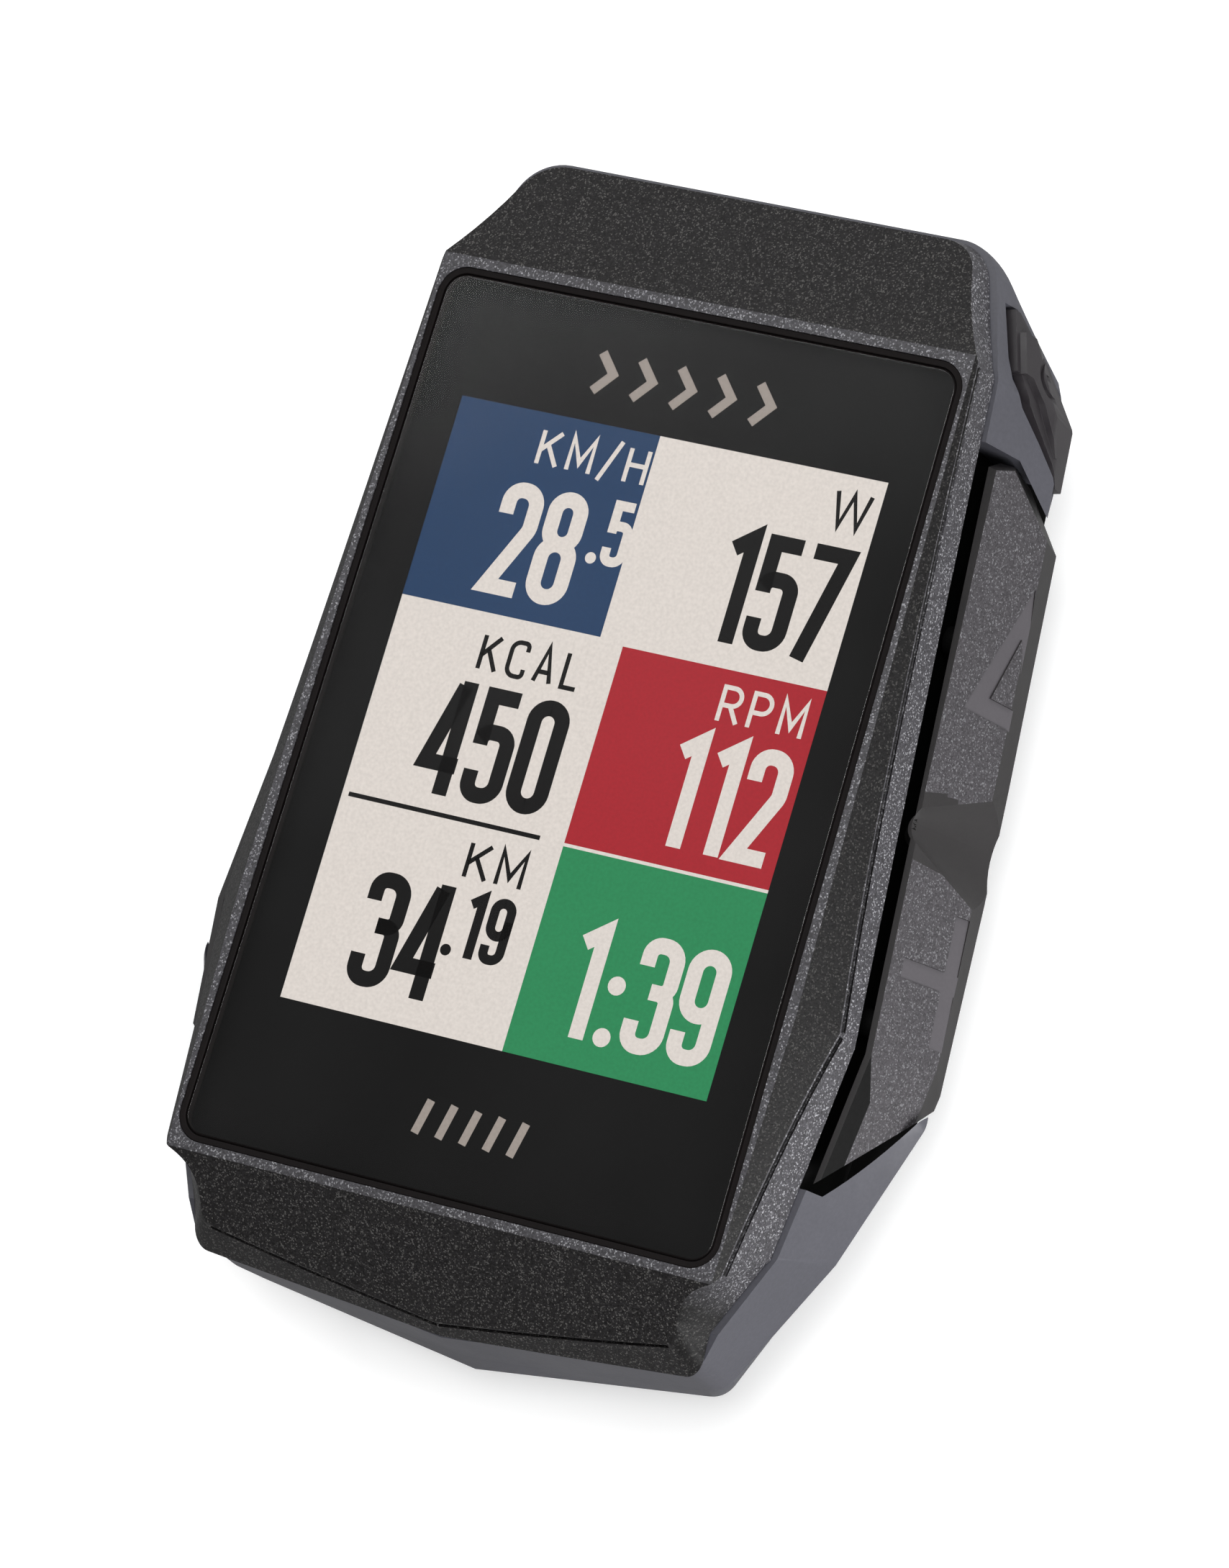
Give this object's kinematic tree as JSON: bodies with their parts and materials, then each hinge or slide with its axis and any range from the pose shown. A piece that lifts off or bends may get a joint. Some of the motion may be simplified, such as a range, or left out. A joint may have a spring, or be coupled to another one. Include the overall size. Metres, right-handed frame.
{
  "type": "cycling computer",
  "caption": "Handlebar cycling computer with a colour display, two side rocker keys, a power button, a hinged port cover and a quarter-turn mount.",
  "frame": {"origin": "centre of the quarter-turn mount's rest face, on the device's left-right middle", "axes": "+X the rider's right, +Y the top of the display, +Z out of the display"},
  "size_m": [0.0462, 0.0678, 0.017],
  "materials": {
    "cover_plastic": "satin, fine sparkle",
    "shell_plastic": "matte, fine texture",
    "key_plastic": "satin, fine sparkle",
    "lens_glass": "polished",
    "display": "lit colour screen",
    "seal_rubber": "matte",
    "tape": "matte",
    "board": "solder mask",
    "chip": "moulded",
    "steel": "satin",
    "brass": "knurled",
    "ceramic": "ceramic",
    "battery_foil": "satin pouch",
    "mount_plastic": "matte, glass filled",
    "lead_sheath": "smooth",
    "membrane": "woven",
    "flex_film": "polyimide film"
  },
  "bodies": {
    "case": {"front_cover": "cover_plastic", "rear_shell": "shell_plastic", "display_lens": "lens_glass", "lens_gasket": "seal_rubber", "lens_tape": "tape", "housing_seal": "seal_rubber", "rocker_pins": "steel", "power_button_seal": "seal_rubber", "power_switch": "steel", "display_panel": "display", "backlight": "ceramic", "display_carrier": "mount_plastic", "display_connector": "ceramic", "display_flex": "flex_film", "main_board": "board", "processor": "chip", "memory_chip": "chip", "shield_can": "steel", "gps_receiver": "chip", "gps_antenna": "ceramic", "radio_module": "steel", "pressure_sensor": "steel", "buzzer": "chip", "battery_connector": "ceramic", "board_screws": "steel", "key_switches": "steel", "key_boots": "seal_rubber", "battery": "battery_foil", "battery_pads": "seal_rubber", "battery_leads": "lead_sheath", "charge_port": "steel", "port_seal": "seal_rubber", "port_cover_pin": "steel", "vent_membrane": "membrane", "thread_inserts": "brass", "case_screws": "steel", "quarter_turn_mount": "mount_plastic", "mount_screws": "steel"},
    "rocker_right": {"rocker_right": "key_plastic"},
    "rocker_left": {"rocker_left": "key_plastic"},
    "power_button": {"power_button": "key_plastic"},
    "port_cover": {"port_cover": "seal_rubber"}
  },
  "joints": [
    {"name": "rocker_right_tilt", "type": "hinge", "parent": "case", "child": "rocker_right", "pos_m": [0.0189, 0, 0], "axis": [0, 0, 1], "range_deg": [-0.8, 0.8]},
    {"name": "rocker_left_tilt", "type": "hinge", "parent": "case", "child": "rocker_left", "pos_m": [-0.0189, 0, 0], "axis": [0, 0, 1], "range_deg": [-0.8, 0.8]},
    {"name": "power_button_press", "type": "slide", "parent": "case", "child": "power_button", "axis": [-0.9749, -0.2225, 0], "range_m": [0, 0.0003]},
    {"name": "port_cover_swing", "type": "hinge", "parent": "case", "child": "port_cover", "pos_m": [0, -0.0203, 0.00455], "axis": [1, 0, 0], "range_deg": [0, 110]}
  ]
}
